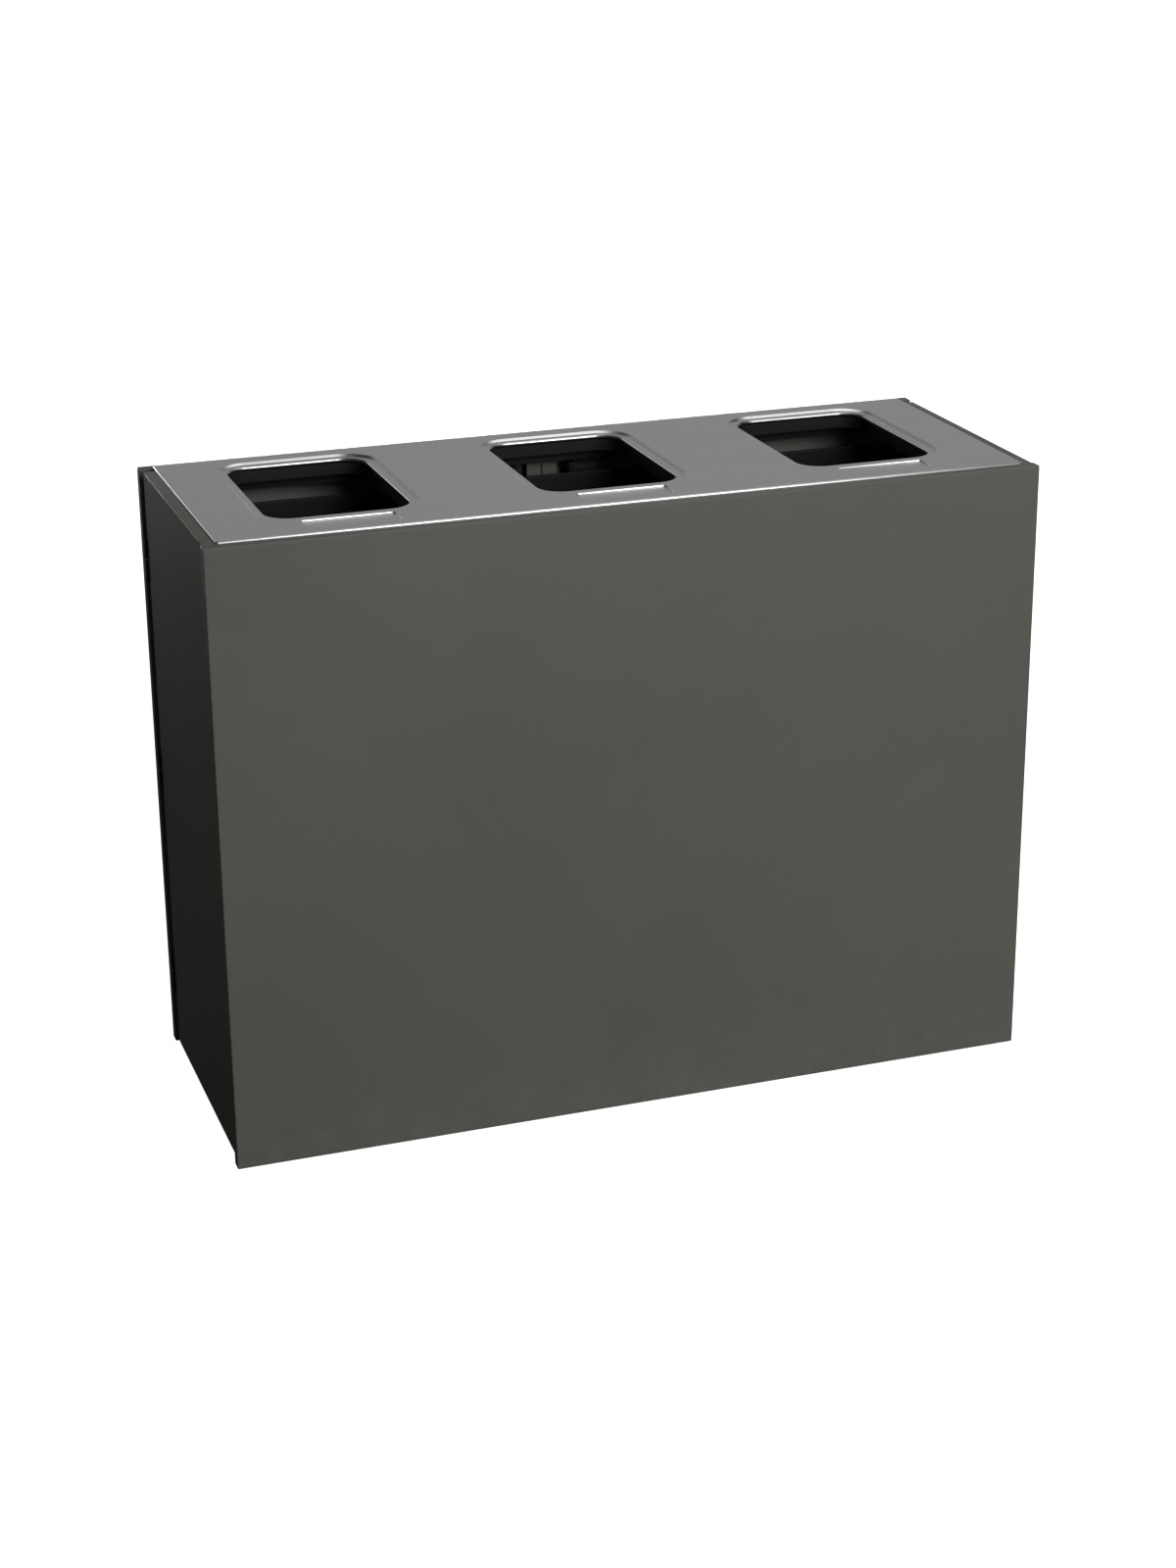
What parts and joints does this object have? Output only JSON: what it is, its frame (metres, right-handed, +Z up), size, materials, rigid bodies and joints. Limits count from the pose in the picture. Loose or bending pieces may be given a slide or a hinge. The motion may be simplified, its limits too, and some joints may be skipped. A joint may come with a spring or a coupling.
{
  "type": "recycling bin station",
  "caption": "Free-standing painted steel cabinet with a pressed stainless top, framed openings over lift-out bins, and hinged, lockable service doors at the back.",
  "frame": {"origin": "on the floor under the middle of the cabinet", "axes": "+X to the right as the user faces the front panel, +Y from the front panel back to the service doors, +Z up"},
  "size_m": [1.2, 0.45, 0.908],
  "materials": {
    "cabinet_paint": "dark olive grey powder coat, satin",
    "black_paint": "black powder coat, matt",
    "stainless": "brushed",
    "zinc": "zinc plated",
    "brass": "plain",
    "rubber": "matt black"
  },
  "bodies": {
    "cabinet": {"front_panel": "cabinet_paint", "left_side_wall": "cabinet_paint", "right_side_wall": "cabinet_paint", "base_tray": "cabinet_paint", "tray_edges": "cabinet_paint", "tray_ends": "cabinet_paint", "front_rail": "black_paint", "rear_rail": "black_paint", "rail_flanges": "black_paint", "rail_tabs": "black_paint", "left_partition": "black_paint", "right_partition": "black_paint", "top_plate": "stainless", "left_chute": "black_paint", "middle_chute": "black_paint", "right_chute": "black_paint", "plate_studs": "stainless", "plate_pads": "rubber", "plate_nuts": "zinc", "front_stiffeners": "cabinet_paint", "panel_bolts": "zinc", "panel_nuts": "zinc", "side_bolts": "zinc", "side_nuts": "zinc", "partition_rivets": "black_paint", "hinge_frame_halves": "black_paint", "hinge_pins": "stainless", "hinge_washers": "brass", "hinge_frame_screws": "zinc", "door_buffers": "rubber", "bin_guides": "zinc", "foot_pads": "rubber", "foot_studs": "zinc", "foot_nuts": "zinc", "left_bin": "black_paint", "middle_bin": "black_paint", "right_bin": "black_paint", "handle_brackets": "black_paint", "bracket_rivets": "black_paint"},
    "left_door": {"left_door": "cabinet_paint", "left_door_stiffeners": "cabinet_paint", "left_hinge_halves": "black_paint", "left_hinge_screws": "zinc", "left_lock_body": "black_paint", "left_lock_nut": "black_paint"},
    "right_door": {"right_door": "cabinet_paint", "right_door_stiffeners": "cabinet_paint", "right_hinge_halves": "black_paint", "right_hinge_screws": "zinc", "right_lock_body": "black_paint", "right_lock_nut": "black_paint"},
    "left_lock": {"left_lock_plug": "stainless", "left_lock_cam": "black_paint", "left_cam_screw": "black_paint"},
    "right_lock": {"right_lock_plug": "stainless", "right_lock_cam": "black_paint", "right_cam_screw": "black_paint"},
    "left_bin_outer_handle": {"left_bin_outer_handle": "black_paint"},
    "left_bin_inner_handle": {"left_bin_inner_handle": "black_paint"},
    "middle_bin_left_handle": {"middle_bin_left_handle": "black_paint"},
    "middle_bin_right_handle": {"middle_bin_right_handle": "black_paint"},
    "right_bin_inner_handle": {"right_bin_inner_handle": "black_paint"},
    "right_bin_outer_handle": {"right_bin_outer_handle": "black_paint"}
  },
  "joints": [
    {"name": "left_door_hinge", "type": "hinge", "parent": "cabinet", "child": "left_door", "pos_m": [-0.595, 0.198, 0.45], "axis": [0, 0, 1], "range_deg": [0, 110]},
    {"name": "right_door_hinge", "type": "hinge", "parent": "cabinet", "child": "right_door", "pos_m": [0.595, 0.198, 0.45], "axis": [0, 0, -1], "range_deg": [0, 110]},
    {"name": "left_lock_turn", "type": "hinge", "parent": "left_door", "child": "left_lock", "pos_m": [-0.045, 0.19, 0.85], "axis": [0, 1, 0], "range_deg": [0, 90]},
    {"name": "right_lock_turn", "type": "hinge", "parent": "right_door", "child": "right_lock", "pos_m": [0.045, 0.19, 0.85], "axis": [0, -1, 0], "range_deg": [0, 90]},
    {"name": "left_bin_outer_handle_swing", "type": "hinge", "parent": "cabinet", "child": "left_bin_outer_handle", "pos_m": [-0.5415, -0.0015, 0.79], "axis": [0, 1, 0], "range_deg": [0, 90]},
    {"name": "left_bin_inner_handle_swing", "type": "hinge", "parent": "cabinet", "child": "left_bin_inner_handle", "pos_m": [-0.2325, -0.0015, 0.79], "axis": [0, -1, 0], "range_deg": [0, 90]},
    {"name": "middle_bin_left_handle_swing", "type": "hinge", "parent": "cabinet", "child": "middle_bin_left_handle", "pos_m": [-0.1545, -0.0015, 0.79], "axis": [0, 1, 0], "range_deg": [0, 90]},
    {"name": "middle_bin_right_handle_swing", "type": "hinge", "parent": "cabinet", "child": "middle_bin_right_handle", "pos_m": [0.1545, -0.0015, 0.79], "axis": [0, -1, 0], "range_deg": [0, 90]},
    {"name": "right_bin_inner_handle_swing", "type": "hinge", "parent": "cabinet", "child": "right_bin_inner_handle", "pos_m": [0.2325, -0.0015, 0.79], "axis": [0, 1, 0], "range_deg": [0, 90]},
    {"name": "right_bin_outer_handle_swing", "type": "hinge", "parent": "cabinet", "child": "right_bin_outer_handle", "pos_m": [0.5415, -0.0015, 0.79], "axis": [0, -1, 0], "range_deg": [0, 90]}
  ]
}
